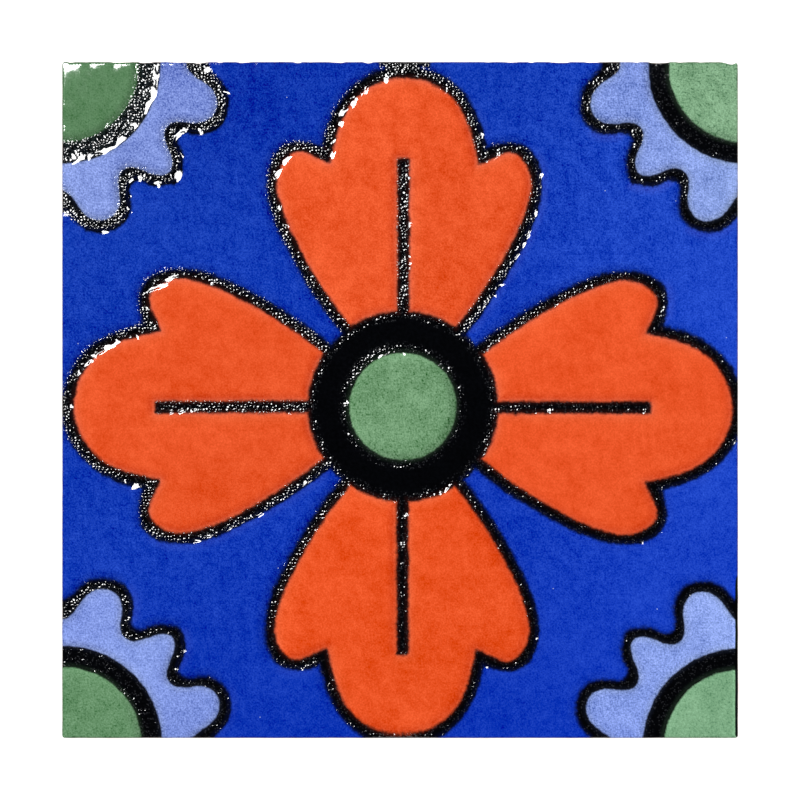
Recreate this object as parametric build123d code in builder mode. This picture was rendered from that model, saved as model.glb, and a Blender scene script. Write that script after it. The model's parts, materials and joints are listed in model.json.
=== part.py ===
from build123d import *
import math
import os

os.makedirs("parts", exist_ok=True)

# ---------------------------------------------------------------- sizes, mm
side = 105.0            # square tile, edge to edge
thick = 7.0             # back to the top of the glaze
line_depth = 0.4        # the black lines lie this far below the coloured glaze
arris_r = 0.3           # soft rounding of the glazed edge
corner_r = 0.35         # rounding of the four upright corners

# The pattern sits a little low and to the right on the tile.
flower_x, flower_y = 0.40, -0.93
disc_r = 8.4            # green centre
ring_r = 14.8           # outside of the black ring round it
vein_w = 1.85           # straight line down the middle of each petal
vein_end = 38.55        # its end, from the flower's centre
vein_shift = (0.08, 0.0, 0.08, 0.15)    # each vein lies a hair off its petal's middle
petal_tilt = (0.0, 0.2, 0.0, 0.0)   # degrees, the left petal is laid a touch askew

# One petal, pointing up from the flower's centre: left lobe, top lobe and
# right lobe, which meet in two sharp notches.
petal_in = (
    [(-8.29, 12.77), (-10.95, 16.23), (-13.41, 19.93), (-15.68, 23.79),
     (-17.61, 27.67), (-19.05, 31.60), (-19.57, 34.99), (-18.58, 37.87),
     (-16.64, 39.52), (-14.19, 39.01), (-11.30, 37.75)],
    [(-11.30, 37.75), (-9.98, 43.15), (-7.83, 47.24), (-4.19, 50.06),
     (0.19, 51.11), (4.58, 50.11), (8.18, 47.33), (10.40, 43.14),
     (11.75, 37.65)],
    [(11.75, 37.65), (14.66, 38.84), (17.14, 39.30), (19.01, 37.65),
     (19.96, 34.70), (19.41, 31.38), (17.91, 27.50), (15.93, 23.63),
     (13.66, 19.80), (11.20, 16.14), (8.51, 12.69)],
)
petal_in_foot = [(8.51, 12.69), (6.2, 9.7), (-6.0, 9.8), (-8.29, 12.77)]

# The outer edge of the black line round the same petal.
petal_out = (
    [(-10.19, 12.25), (-12.84, 15.92), (-15.27, 19.69), (-17.44, 23.59),
     (-19.42, 27.64), (-20.73, 31.38), (-21.07, 35.10), (-20.38, 38.46),
     (-18.64, 40.57), (-15.80, 41.13), (-12.50, 40.40)],
    [(-12.50, 40.40), (-10.93, 45.59), (-8.24, 49.43), (-4.29, 52.09),
     (0.20, 53.05), (4.74, 52.05), (8.66, 49.47), (11.30, 45.49),
     (13.02, 40.35)],
    [(13.02, 40.35), (16.33, 40.97), (19.17, 40.28), (20.85, 38.09),
     (21.48, 34.68), (21.02, 30.98), (19.61, 27.10), (17.65, 23.17),
     (15.36, 19.22), (12.91, 15.44), (10.25, 11.94)],
)
petal_out_foot = [(10.25, 11.94), (8.1, 9.1), (-8.1, 9.4), (-10.19, 12.25)]
runout_w = 7.6          # the top petal's line runs off over the tile's top edge

# Corner rosettes: green disc, black band, scalloped lavender collar. A
# quarter of each shows. The scallops mirror about the corner's diagonal,
# so half of each wavy edge is given, from the rosette's own centre.
rose_green_r = 11.9
rose_band_r = 15.1
wave_in = [(-19.30, 0.90), (-19.74, -0.83), (-21.78, -2.40), (-23.51, -4.14),
           (-23.99, -6.06), (-23.21, -7.90), (-21.50, -8.79),
           (-18.84, -8.69), (-16.75, -9.00), (-15.83, -10.26),
           (-16.21, -12.42), (-16.97, -14.92), (-16.56, -16.56)]
wave_out = [(-22.40, 0.90), (-22.95, -0.81), (-24.73, -2.70),
            (-25.57, -4.62), (-25.55, -7.00), (-24.69, -8.96),
            (-23.02, -10.15), (-20.87, -10.43), (-18.49, -10.39),
            (-17.70, -11.29), (-18.35, -13.48), (-18.41, -16.17),
            (-17.86, -17.86)]
# Each rosette's centre from its own tile corner, seen with that corner at
# the top right: quarter turns, then the offset.
roses = [
    (0, 1.12, -0.60),   # top right
    (1, -0.49, 0.00),   # top left
    (2, -0.39, 0.81),   # bottom left
    (3, 1.23, 0.35),    # bottom right
]


def turned(points, degrees, dx=0.0, dy=0.0):
    """Points turned anticlockwise about the origin, then shifted."""
    c, s = math.cos(math.radians(degrees)), math.sin(math.radians(degrees))
    return [(c * x - s * y + dx, s * x + c * y + dy) for x, y in points]


def on_flower(points, k):
    return turned(points, 90 * k + petal_tilt[k], flower_x, flower_y)


def on_corner(points, rose):
    k, dx, dy = rose
    return turned([(x + dx + side / 2, y + dy + side / 2) for x, y in points],
                  90 * k)


def mirrored(half):
    """A half edge that ends on the diagonal, made whole."""
    return half + [(y, x) for x, y in reversed(half[:-1])]


with BuildPart() as tile:
    # the slab
    Box(side, side, thick, align=(Align.CENTER, Align.CENTER, Align.MIN))
    fillet(tile.edges().filter_by(Axis.Z), radius=corner_r)
    fillet(tile.faces().sort_by(Axis.Z)[-1].edges(), radius=arris_r)

    # the sunken black lines, cut as one network
    with BuildSketch(Plane.XY.offset(thick)) as lines:
        # petals, outside of their lines
        for k in range(4):
            with BuildLine():
                for section in petal_out:
                    Spline(*on_flower(section, k))
                Polyline(*on_flower(petal_out_foot, k))
            make_face()
        with Locations((flower_x + 0.2, side / 2)):
            Rectangle(runout_w, 1.6)
        # petals, coloured inside
        for k in range(4):
            with BuildLine():
                for section in petal_in:
                    Spline(*on_flower(section, k))
                Polyline(*on_flower(petal_in_foot, k))
            make_face(mode=Mode.SUBTRACT)
        # veins and the ring
        for k in range(4):
            mid = on_flower([(vein_shift[k], vein_end / 2)], k)[0]
            with Locations(Location((mid[0], mid[1], 0), (0, 0, 90 * k))):
                Rectangle(vein_w, vein_end)
        with Locations((flower_x, flower_y)):
            Circle(ring_r)
            Circle(disc_r, mode=Mode.SUBTRACT)
        # corner rosettes
        for rose in roses:
            for half, mode in ((wave_out, Mode.ADD), (wave_in, Mode.SUBTRACT)):
                edge = mirrored(half)
                first, last = edge[0], edge[-1]
                back = [last, (last[0] + 4, last[1]), (5, 5),
                        (first[0], first[1] + 4), first]
                with BuildLine():
                    Spline(*on_corner(edge, rose))
                    Polyline(*on_corner(back, rose))
                make_face(mode=mode)
            centre = on_corner([(0, 0)], rose)[0]
            with Locations(centre):
                Circle(rose_band_r)
                Circle(rose_green_r, mode=Mode.SUBTRACT)
    extrude(amount=-line_depth, mode=Mode.SUBTRACT)

tile.part.label = "tile"
export_step(tile.part, "parts/tile.step")
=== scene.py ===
import json
import math

import bpy
import numpy as np
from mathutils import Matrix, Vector, geometry, kdtree

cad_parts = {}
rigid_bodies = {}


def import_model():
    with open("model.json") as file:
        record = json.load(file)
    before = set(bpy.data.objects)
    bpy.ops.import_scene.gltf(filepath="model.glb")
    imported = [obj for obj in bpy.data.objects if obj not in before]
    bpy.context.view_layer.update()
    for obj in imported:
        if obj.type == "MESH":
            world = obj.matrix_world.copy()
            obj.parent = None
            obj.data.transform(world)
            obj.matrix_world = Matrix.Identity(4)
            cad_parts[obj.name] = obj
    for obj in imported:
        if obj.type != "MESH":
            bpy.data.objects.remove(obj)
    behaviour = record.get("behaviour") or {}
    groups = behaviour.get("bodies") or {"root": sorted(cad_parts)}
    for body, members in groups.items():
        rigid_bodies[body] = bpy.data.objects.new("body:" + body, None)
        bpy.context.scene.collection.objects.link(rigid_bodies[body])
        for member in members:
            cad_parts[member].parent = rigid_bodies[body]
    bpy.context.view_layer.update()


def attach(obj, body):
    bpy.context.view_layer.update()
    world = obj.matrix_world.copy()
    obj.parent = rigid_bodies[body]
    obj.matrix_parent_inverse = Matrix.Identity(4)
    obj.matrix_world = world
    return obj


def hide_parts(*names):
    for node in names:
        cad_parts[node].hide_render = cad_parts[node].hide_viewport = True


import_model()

MM = 0.001


# ================================================================ sizes, mm
HALF = 52.5             # half of the square's side
TOP = 7.0               # level of the coloured glaze
CORNER_R = 0.35         # upright corners of the glaze
CLAY_CORNER_R = 0.75    # and of the clay under it
ARRIS_R = 0.17          # rounding of the glazed edge

FLOWER = (0.40, -0.93)
DISC_R = 8.4
RING_R = 14.8
VEIN_W = 1.85
VEIN_END = 38.55
VEIN_SHIFT = (0.08, 0.0, 0.08, 0.15)
PETAL_TILT = (0.0, 0.2, 0.0, 0.0)

PETAL_IN = (
    [(-8.29, 12.77), (-10.95, 16.23), (-13.41, 19.93), (-15.68, 23.79),
     (-17.61, 27.67), (-19.05, 31.60), (-19.57, 34.99), (-18.58, 37.87),
     (-16.64, 39.52), (-14.19, 39.01), (-11.30, 37.75)],
    [(-11.30, 37.75), (-9.98, 43.15), (-7.83, 47.24), (-4.19, 50.06),
     (0.19, 51.11), (4.58, 50.11), (8.18, 47.33), (10.40, 43.14),
     (11.75, 37.65)],
    [(11.75, 37.65), (14.66, 38.84), (17.14, 39.30), (19.01, 37.65),
     (19.96, 34.70), (19.41, 31.38), (17.91, 27.50), (15.93, 23.63),
     (13.66, 19.80), (11.20, 16.14), (8.51, 12.69)],
)
PETAL_IN_FOOT = [(8.51, 12.69), (6.2, 9.7), (-6.0, 9.8), (-8.29, 12.77)]
PETAL_OUT = (
    [(-10.19, 12.25), (-12.84, 15.92), (-15.27, 19.69), (-17.44, 23.59),
     (-19.42, 27.64), (-20.73, 31.38), (-21.07, 35.10), (-20.38, 38.46),
     (-18.64, 40.57), (-15.80, 41.13), (-12.50, 40.40)],
    [(-12.50, 40.40), (-10.93, 45.59), (-8.24, 49.43), (-4.29, 52.09),
     (0.20, 53.05), (4.74, 52.05), (8.66, 49.47), (11.30, 45.49),
     (13.02, 40.35)],
    [(13.02, 40.35), (16.33, 40.97), (19.17, 40.28), (20.85, 38.09),
     (21.48, 34.68), (21.02, 30.98), (19.61, 27.10), (17.65, 23.17),
     (15.36, 19.22), (12.91, 15.44), (10.25, 11.94)],
)
PETAL_OUT_FOOT = [(10.25, 11.94), (8.1, 9.1), (-8.1, 9.4), (-10.19, 12.25)]
RUNOUT_W = 7.6

ROSE_GREEN_R = 11.9
ROSE_BAND_R = 15.1
WAVE_IN = [(-19.30, 0.90), (-19.74, -0.83), (-21.78, -2.40), (-23.51, -4.14),
           (-23.99, -6.06), (-23.21, -7.90), (-21.50, -8.79),
           (-18.84, -8.69), (-16.75, -9.00), (-15.83, -10.26),
           (-16.21, -12.42), (-16.97, -14.92), (-16.56, -16.56)]
WAVE_OUT = [(-22.40, 0.90), (-22.95, -0.81), (-24.73, -2.70),
            (-25.57, -4.62), (-25.55, -7.00), (-24.69, -8.96),
            (-23.02, -10.15), (-20.87, -10.43), (-18.49, -10.39),
            (-17.70, -11.29), (-18.35, -13.48), (-18.41, -16.17),
            (-17.86, -17.86)]
ROSES = [(0, 1.12, -0.60), (1, -0.49, 0.00), (2, -0.39, 0.81),
         (3, 1.23, 0.35)]     # top right, top left, bottom left, bottom right

# regions
BLACK, BLUE, ORANGE, GREEN, LAVENDER = 0, 1, 2, 6, 11
# orange 2..5: top, left, bottom, right petal
# green 6: centre; 7..10: corners; lavender 11..14: corners (order of ROSES)


# ================================================================ helpers
def lattice(seed):
    return np.random.default_rng(seed).uniform(-1.0, 1.0, (128, 128))


LATTICES = {}


def noise(x, y, size, seed=0):
    """Smooth value noise in -1..1 with lumps about `size` mm wide."""
    if seed not in LATTICES:
        LATTICES[seed] = lattice(seed)
    g = LATTICES[seed]
    u = np.asarray(x, float) / size + 37.3 + seed * 5.17
    v = np.asarray(y, float) / size + 51.9 + seed * 3.71
    i, j = np.floor(u).astype(int), np.floor(v).astype(int)
    fu, fv = u - i, v - j
    fu, fv = (f * f * f * (f * (f * 6 - 15) + 10) for f in (fu, fv))
    a, b = g[i % 128, j % 128], g[(i + 1) % 128, j % 128]
    c, d = g[i % 128, (j + 1) % 128], g[(i + 1) % 128, (j + 1) % 128]
    return (a * (1 - fu) + b * fu) * (1 - fv) + (c * (1 - fu) + d * fu) * fv


def smooth(lo, hi, x):
    t = np.clip((np.asarray(x, float) - lo) / (hi - lo), 0, 1)
    return t * t * (3 - 2 * t)


def turned(points, degrees, dx=0.0, dy=0.0):
    p = np.asarray(points, float)
    c, s = math.cos(math.radians(degrees)), math.sin(math.radians(degrees))
    return np.stack([c * p[:, 0] - s * p[:, 1] + dx,
                     s * p[:, 0] + c * p[:, 1] + dy], 1)


def on_flower(points, k):
    return turned(points, 90 * k + PETAL_TILT[k], *FLOWER)


def on_corner(points, rose):
    k, dx, dy = rose
    return turned(np.asarray(points, float) + (dx + HALF, dy + HALF), 90 * k)


def evenly(p, step):
    """A polyline resampled at about `step`, ends kept."""
    s = np.r_[0, np.cumsum(np.hypot(*np.diff(p, axis=0).T))]
    n = max(2, int(round(s[-1] / step)) + 1)
    t = np.linspace(0, s[-1], n)
    return np.stack([np.interp(t, s, p[:, 0]), np.interp(t, s, p[:, 1])], 1)


def spline(points, step):
    """Cubic through the points, by chord length, with not-a-knot ends."""
    P = np.asarray(points, float)
    t = np.r_[0, np.cumsum(np.hypot(*np.diff(P, axis=0).T))]
    n, h = len(t), np.diff(t)
    slope = np.diff(P, axis=0) / h[:, None]
    A, b = np.zeros((n, n)), np.zeros((n, 2))
    for i in range(1, n - 1):
        A[i, i - 1], A[i, i], A[i, i + 1] = h[i], 2 * (h[i - 1] + h[i]), h[i - 1]
        b[i] = 3 * (h[i] * slope[i - 1] + h[i - 1] * slope[i])
    d = t[2] - t[0]
    A[0, 0], A[0, 1] = h[1], d
    b[0] = ((h[0] + 2 * d) * h[1] * slope[0] + h[0] ** 2 * slope[1]) / d
    d = t[-1] - t[-3]
    A[-1, -1], A[-1, -2] = h[-2], d
    b[-1] = (h[-1] ** 2 * slope[-2] + (2 * d + h[-1]) * h[-2] * slope[-1]) / d
    m = np.linalg.solve(A, b)
    out = []
    for i in range(n - 1):
        u = np.linspace(0, 1, 60, endpoint=i == n - 2)[:, None]
        out.append((2 * u**3 - 3 * u**2 + 1) * P[i] + (u**3 - 2 * u**2 + u) * h[i] * m[i]
                   + (-2 * u**3 + 3 * u**2) * P[i + 1] + (u**3 - u**2) * h[i] * m[i + 1])
    return evenly(np.vstack(out), step)


def circle(cx, cy, r, step):
    a = np.linspace(0, 2 * math.pi, int(2 * math.pi * r / step) + 1)[:-1]
    return np.stack([cx + r * np.cos(a), cy + r * np.sin(a)], 1)


def loop_of(parts):
    """Joins polylines end to end into one closed loop."""
    return np.vstack([p[:-1] for p in parts])


def wobbled(p, much=1.0):
    """The small unevenness of a line laid by hand."""
    x, y = p[:, 0], p[:, 1]
    dx = 0.055 * noise(x, y, 2.6, 1) + 0.035 * noise(x, y, 0.75, 2)
    dy = 0.055 * noise(x, y, 2.6, 3) + 0.035 * noise(x, y, 0.75, 4)
    return p + much * np.stack([dx, dy], 1)


def inside(loop, p):
    """Which of the points lie in the closed loop."""
    lo, hi = loop.min(0), loop.max(0)
    near = np.flatnonzero(((p >= lo) & (p <= hi)).all(1))
    found = np.zeros(len(p), bool)
    a, b = loop, np.roll(loop, -1, axis=0)
    dy = b[:, 1] - a[:, 1]
    dy = np.where(np.abs(dy) < 1e-12, 1e-12, dy)
    for i in range(0, len(near), 4000):
        ids = near[i:i + 4000]
        x, y = p[ids, 0][:, None], p[ids, 1][:, None]
        cross = (a[:, 1] > y) != (b[:, 1] > y)
        at = a[:, 0] + (y - a[:, 1]) * (b[:, 0] - a[:, 0]) / dy
        found[ids] = ((cross & (x < at)).sum(1) % 2).astype(bool)
    return found


# ================================================================ the pattern
STEP = 0.27


def mirrored(half):
    return list(half) + [(y, x) for x, y in reversed(half[:-1])]


petals_out, petals_in, veins = [], [], []
for k in range(4):
    petals_out.append(wobbled(loop_of(
        [spline(on_flower(s, k), STEP) for s in PETAL_OUT]
        + [evenly(on_flower(PETAL_OUT_FOOT, k), STEP)])))
    petals_in.append(wobbled(loop_of(
        [spline(on_flower(s, k), STEP) for s in PETAL_IN]
        + [evenly(on_flower(PETAL_IN_FOOT, k), STEP)])))
    w, e, s = VEIN_W / 2, VEIN_END, VEIN_SHIFT[k]
    r = 0.22
    bow = [(s + w, 0), (s + w, e - r), (s + w - r * 0.3, e - r * 0.3), (s + w - r, e),
           (s - w + r, e), (s - w + r * 0.3, e - r * 0.3), (s - w, e - r), (s - w, 0),
           (s + w, 0)]
    veins.append(wobbled(loop_of([evenly(on_flower(bow, k), STEP)])))
ring = wobbled(circle(*FLOWER, RING_R, STEP))
disc = wobbled(circle(*FLOWER, DISC_R, STEP))
fx = FLOWER[0] + 0.2
runout = np.array([(fx - RUNOUT_W / 2, HALF - 0.8), (fx + RUNOUT_W / 2, HALF - 0.8),
                   (fx + RUNOUT_W / 2, HALF + 0.8), (fx - RUNOUT_W / 2, HALF + 0.8)])
waves_out, waves_in, bands, greens = [], [], [], []
for rose in ROSES:
    for half, kept in ((WAVE_OUT, waves_out), (WAVE_IN, waves_in)):
        edge = mirrored(half)
        first, last = edge[0], edge[-1]
        back = [last, (last[0] + 4, last[1]), (5, 5), (first[0], first[1] + 4), first]
        kept.append(wobbled(loop_of([spline(on_corner(edge, rose), STEP),
                                     evenly(on_corner(back, rose), STEP)])))
    cx, cy = on_corner([(0, 0)], rose)[0]
    bands.append(wobbled(circle(cx, cy, ROSE_BAND_R, STEP)))
    greens.append(wobbled(circle(cx, cy, ROSE_GREEN_R, STEP)))
LOOPS = (petals_out + petals_in + veins + [ring, disc, runout]
         + waves_out + waves_in + bands + greens)


def region(p):
    """Which part of the pattern each point lies in."""
    lab = np.full(len(p), BLUE)
    for q in petals_out:
        lab[inside(q, p)] = BLACK
    lab[inside(runout, p)] = BLACK
    for k, q in enumerate(petals_in):
        lab[inside(q, p)] = ORANGE + k
    for q in veins + [ring]:
        lab[inside(q, p)] = BLACK
    lab[inside(disc, p)] = GREEN
    for j in range(4):
        lab[inside(waves_out[j], p)] = BLACK
        lab[inside(waves_in[j], p)] = LAVENDER + j
        lab[inside(bands[j], p)] = BLACK
        lab[inside(greens[j], p)] = GREEN + 1 + j
    return lab


def rim_distance(p):
    """Distance in from the slab's rounded-square outline."""
    q = np.abs(p) - (HALF - CORNER_R)
    outer = np.hypot(*np.maximum(q, 0).T) + np.minimum(q.max(1), 0)
    return CORNER_R - outer


# the edges between colours: only the stretches where the colour does change
segments = []
for q in LOOPS:
    a, b = q, np.roll(q, -1, axis=0)
    keep = (np.abs(a).max(1) < HALF + 0.3) | (np.abs(b).max(1) < HALF + 0.3)
    a, b = a[keep], b[keep]
    t = b - a
    n = np.stack([-t[:, 1], t[:, 0]], 1) / np.maximum(np.hypot(*t.T), 1e-9)[:, None]
    change = np.zeros(len(a), bool)
    for f in (0.2, 0.5, 0.8):
        m = a + f * t
        change |= region(m + 0.02 * n) != region(m - 0.02 * n)
    segments.append(np.stack([a[change], b[change]], 1))
segments = np.vstack(segments)

# clipped to the square
clipped = []
for a, b in segments:
    t0, t1 = 0.0, 1.0
    d = b - a
    for i in (0, 1):
        for side in (-HALF, HALF):
            if abs(d[i]) < 1e-12:
                if (a[i] - side) * np.sign(side) > 0:
                    t1 = -1
                continue
            t = (side - a[i]) / d[i]
            if (d[i] > 0) == (side > 0):
                t1 = min(t1, t)
            else:
                t0 = max(t0, t)
    if t1 - t0 > 1e-3:
        clipped.append((a + t0 * d, a + t1 * d))
segments = np.array(clipped)

# dense samples of the edges, with the regions on both sides
samples, tangents = [], []
run = segments[:, 1] - segments[:, 0]
run_dir = run / np.maximum(np.hypot(*run.T), 1e-9)[:, None]
for f in np.linspace(0, 1, 6)[:-1]:
    samples.append(segments[:, 0] + f * run)
    tangents.append(run_dir)
samples, tangents = np.vstack(samples), np.vstack(tangents)
normals = np.stack([-tangents[:, 1], tangents[:, 0]], 1)
side_a, side_b = region(samples + 0.03 * normals), region(samples - 0.03 * normals)
beside = np.maximum(side_a, side_b)     # the coloured side: black is 0
to_colour = normals * np.sign(side_a - side_b)[:, None]
live = side_a != side_b
samples, tangents, normals, beside, to_colour = (
    x[live] for x in (samples, tangents, normals, beside, to_colour))
tree = kdtree.KDTree(len(samples))
for i, (x, y) in enumerate(samples):
    tree.insert((x, y, 0.0), i)
tree.balance()


def edge_distance(p):
    """Distance to the nearest colour edge, and which sample that is."""
    find = tree.find
    ids = np.fromiter((find((x, y, 0.0))[1] for x, y in p), int, len(p))
    off = p - samples[ids]
    along = np.clip((off * tangents[ids]).sum(1), -0.03, 0.03)
    return np.hypot(*(off - along[:, None] * tangents[ids]).T), ids


# ================================================================ mesh points
class Sieve:
    """Takes points only where no earlier one is nearer than their gap."""

    def __init__(self, cell=0.25):
        self.cell, self.grid, self.points = cell, {}, []

    def add(self, pts, gap):
        cell, grid = self.cell, self.grid
        reach = int(math.ceil(gap / cell))
        gap2 = gap * gap
        around = [(a, b) for a in range(-reach, reach + 1) for b in range(-reach, reach + 1)]
        for x, y in pts:
            i, j = int(x // cell), int(y // cell)
            clear = True
            if gap:
                for a, b in around:
                    for u, v in grid.get((i + a, j + b), ()):
                        if (u - x) ** 2 + (v - y) ** 2 < gap2:
                            clear = False
                            break
                    if not clear:
                        break
            if clear:
                grid.setdefault((i, j), []).append((x, y))
                self.points.append((x, y))


def outline(inset, step, corner=CORNER_R):
    """The rounded square, `inset` mm in from the slab's outline."""
    r = max(corner - inset, 0.0)
    h = HALF - inset - r
    sides = []
    for k in range(4):
        side = evenly(np.array([(HALF - inset, -h), (HALF - inset, h)]), step)
        sides.append(turned(side[:-1] if r <= 0.05 else side, 90 * k))
        if r > 0.05:
            n = max(3, int(round(r * math.pi / 2 / step)) + 1)
            a = np.linspace(0, math.pi / 2, n + 1)[1:-1]
            arc = np.stack([h + r * np.cos(a), h + r * np.sin(a)], 1)
            sides.append(turned(arc, 90 * k))
    return np.vstack(sides)


def outward(p, corner=CORNER_R):
    """Direction from each point to the slab's outline."""
    q = np.abs(p) - (HALF - corner)
    n = np.maximum(q, 0)
    flat = n.max(1) < 1e-9
    n[flat, q[flat].argmax(1)] = 1
    return np.sign(p) * n / np.hypot(*n.T)[:, None]


RIM_STEP = 0.42
perimeter = outline(0.0, RIM_STEP)
# colour edges that reach the outline end on one of its vertices
ends = segments.reshape(-1, 2)
touching = ends[np.abs(ends).max(1) > HALF - 1e-6]
for q in touching:
    perimeter[np.hypot(*(perimeter - q).T).argmin()] = q
n_rim = len(perimeter)
ends = np.unique(np.round(ends[np.abs(ends).max(1) <= HALF - 1e-6], 5), axis=0)
sieve = Sieve()
sieve.add(perimeter, 0)
sieve.add(ends, 0)
for inset in (0.02, 0.065, 0.13, 0.18, 0.22, 0.26, 0.36, 0.48, 0.62, 0.85):
    sieve.add(outline(inset, RIM_STEP + inset * 0.2), 0.018 if inset < 0.3 else 0.06)
for offset, gap, near in ((0.09, 0.235, 0.07), (0.2, 0.235, 0.085), (0.34, 0.25, 0.11),
                          (0.52, 0.27, 0.14), (0.75, 0.31, 0.17)):
    for sgn in (1, -1):
        q = samples + sgn * offset * normals
        q = q[np.abs(q).max(1) < HALF - 0.05]
        d, _ = edge_distance(q)
        row = Sieve()
        row.add(q[d > 0.95 * offset], gap)
        sieve.add(row.points, near)

# the rest, coarser away from the edges
rng = np.random.default_rng(7)
for size, lo, hi in ((0.36, 0.85, 1.25), (0.52, 1.25, 1.9), (0.75, 1.9, 3.0),
                     (1.1, 3.0, 5.0), (1.5, 5.0, 99.0)):
    n = int(2 * HALF / size) + 2
    i, j = np.meshgrid(np.arange(n), np.arange(int(n / 0.866) + 2), indexing="ij")
    q = np.stack([i * size + (j % 2) * size / 2, j * size * 0.866], -1).reshape(-1, 2) - HALF
    q += rng.uniform(-0.18, 0.18, q.shape) * size
    q = q[np.abs(q).max(1) < HALF - 0.3]
    d, _ = edge_distance(q)
    d = np.minimum(d, rim_distance(q) + 0.5)
    sieve.add(q[(d >= lo) & (d < hi)], 0.62 * size)
points = np.array(sieve.points)

index = {(float(x), float(y)): i for i, (x, y) in enumerate(np.round(points, 5))}
links = [(i, (i + 1) % n_rim) for i in range(n_rim)]
for a, b in np.round(segments, 5):
    i, j = index[(float(a[0]), float(a[1]))], index[(float(b[0]), float(b[1]))]
    if i != j:
        links.append((i, j))
flat, _, faces, was, _, _ = geometry.delaunay_2d_cdt(
    [Vector((float(x), float(y))) for x, y in points], links, [], 1, 1e-6, True)
top = np.array([tuple(v) for v in flat])
tris = np.array(faces)
place = {}
for new, old in enumerate(was):
    for i in old:
        place[i] = new
rim = np.array([place[i] for i in range(n_rim)])      # the outline's vertices, in order
a, b, c = (top[tris[:, k]] for k in range(3))
area = np.cross(b - a, c - a) / 2
tris[area < 0] = tris[area < 0][:, ::-1]

# ================================================================ relief
middle = (a + b + c) / 3
face_lab = region(middle)
# a vertex's region: that of its faces; edge vertices keep the coloured one
lab = np.zeros(len(top), int)
np.maximum.at(lab, tris.ravel(), np.repeat(face_lab, 3))
dark = np.zeros(len(top), bool)       # touches a black face
dark[tris[face_lab == BLACK].ravel()] = True
d, nearest = edge_distance(top)
on_edge = dark & (lab != BLACK)
d[on_edge] = 0.0
inset = np.maximum(rim_distance(top), 0.0)
inset[rim] = 0.0
x, y = top.T
rose_r = np.min([np.hypot(x - cx, y - cy) for cx, cy in
                 (on_corner([(0, 0)], r)[0] for r in ROSES)], axis=0)
ring_r = np.hypot(x - FLOWER[0], y - FLOWER[1])
in_ring = (ring_r > DISC_R - 0.2) & (ring_r < RING_R + 0.3) & (lab == BLACK)

# facing: 1 where the coloured side slopes to the upper left, -1 where it slopes away
facing = (to_colour * (0.7071, -0.7071)).sum(1)
turn = facing[nearest]
lit = smooth(-0.15, 0.45, turn)
side = (x - y) / (2 * HALF)           # -1 at the upper left corner, 1 at the lower right
in_band = (rose_r < ROSE_BAND_R + 0.7) & (rose_r > ROSE_GREEN_R - 0.3)
black = lab == BLACK
sd = np.where(black, -d, d)           # distance from the colour edge, more on the coloured side

corner_at = [on_corner([(0, 0)], r)[0] for r in ROSES]
rose = np.argmin([np.hypot(x - cx, y - cy) for cx, cy in corner_at], axis=0)
tl = smooth(-0.30, -0.60, side)       # 1 towards the upper left corner
peel = 0.0022 * noise(x, y, 3.1, 24) + 0.0008 * noise(x, y, 1.3, 25)
dip = (0.010 * (1 - 0.7 * tl) * (1 + 0.5 * noise(x, y, 1.6, 23))
       * np.exp(-np.maximum(sd, 0) / (0.25 * (1 + 0.25 * noise(x, y, 2.0, 26)))))

# Lines are sunk a little. On the side that faces the upper left the coloured glaze hangs over
# into them in fat drops (gate 1), between which it runs out flat (gate 0); on the other side
# it ends more steeply.
FLOOR = 0.12 * (1 + 0.12 * noise(x, y, 2.7, 32))
by_blue = beside[nearest] == BLUE
by_lilac = beside[nearest] >= LAVENDER
gate = noise(x, y, 1.6, 38) + 0.35 * noise(x, y, 0.8, 39)
gate = np.where(in_band & (rose == 1),
                noise(x, y, 1.05, 48) + 0.25 * noise(x, y, 0.7, 49), gate)
gate = smooth(-0.15, 0.19, gate - np.where(in_band, np.array([0.60, -0.20, 0.60, 1.0])[rose],
                                           0.48 + 0.62 * side + 0.15 * by_blue * tl
                                           + 0.5 * by_lilac * (1 - tl)))
over = np.where(in_band, 0.13 + 0.26 * noise(x, y, 1.5, 33),
                0.46 + 0.15 * side + 0.12 * by_blue * (1 - tl)
                + (0.36 - 0.3 * side + 0.10 * by_blue).clip(0.2, 0.6) * noise(x, y, 1.5, 33))
slope = (0.198 + 0.105 * side) * (1 + 0.20 * noise(x, y, 1.9, 35))
flat = np.clip(0.045 + 0.05 * side, 0.006, 0.06)


def hanging(into):
    """Depth at `into` mm from the colour edge into the line, on the sides facing upper left."""
    drop = np.minimum(slope * np.maximum(into + over, 0), FLOOR)
    return drop * gate + flat * smooth(-0.15, 0.95, into) * (1 - gate)


def ended(into):
    return FLOOR * smooth(0.0, 0.90, into)


def nearest_of(p, which):
    found = kdtree.KDTree(int(which.sum()))
    for i in np.flatnonzero(which):
        found.insert((samples[i, 0], samples[i, 1], 0.0), int(i))
    found.balance()
    ids = np.fromiter((found.find((u, v, 0.0))[1] for u, v in p), int, len(p))
    return np.hypot(*(p - samples[ids]).T), smooth(-0.15, 0.45, facing[ids])


depth = lit * hanging(-sd) * (sd > 0)
d_up, lit_up = np.full(len(top), 9.0), np.ones(len(top))
d_off, lit_off = np.full(len(top), 9.0), np.zeros(len(top))
d_up[black], lit_up[black] = nearest_of(top[black], facing >= 0.15)
d_off[black], lit_off[black] = nearest_of(top[black], facing < 0.15)
from_up = lit_up * hanging(d_up) + (1 - lit_up) * ended(d_up)
from_off = lit_off * hanging(d_off) + (1 - lit_off) * ended(d_off)
depth = np.where(black, np.minimum(from_up, from_off), depth)
# points on the edges themselves belong to both sides
depth = np.where(on_edge, lit * hanging(0 * d), depth)
bumps = 0.008 * noise(x, y, 0.95, 31) * smooth(0.05, 0.12, depth)
z = TOP - dip + peel - depth + bumps
# wide black bands fill up to a smooth pool in their middle
full = smooth(1.0, 1.9, d) * in_ring
z = z * (1 - full) + (6.90 + 0.003 * noise(x, y, 2.5, 34)) * full

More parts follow.
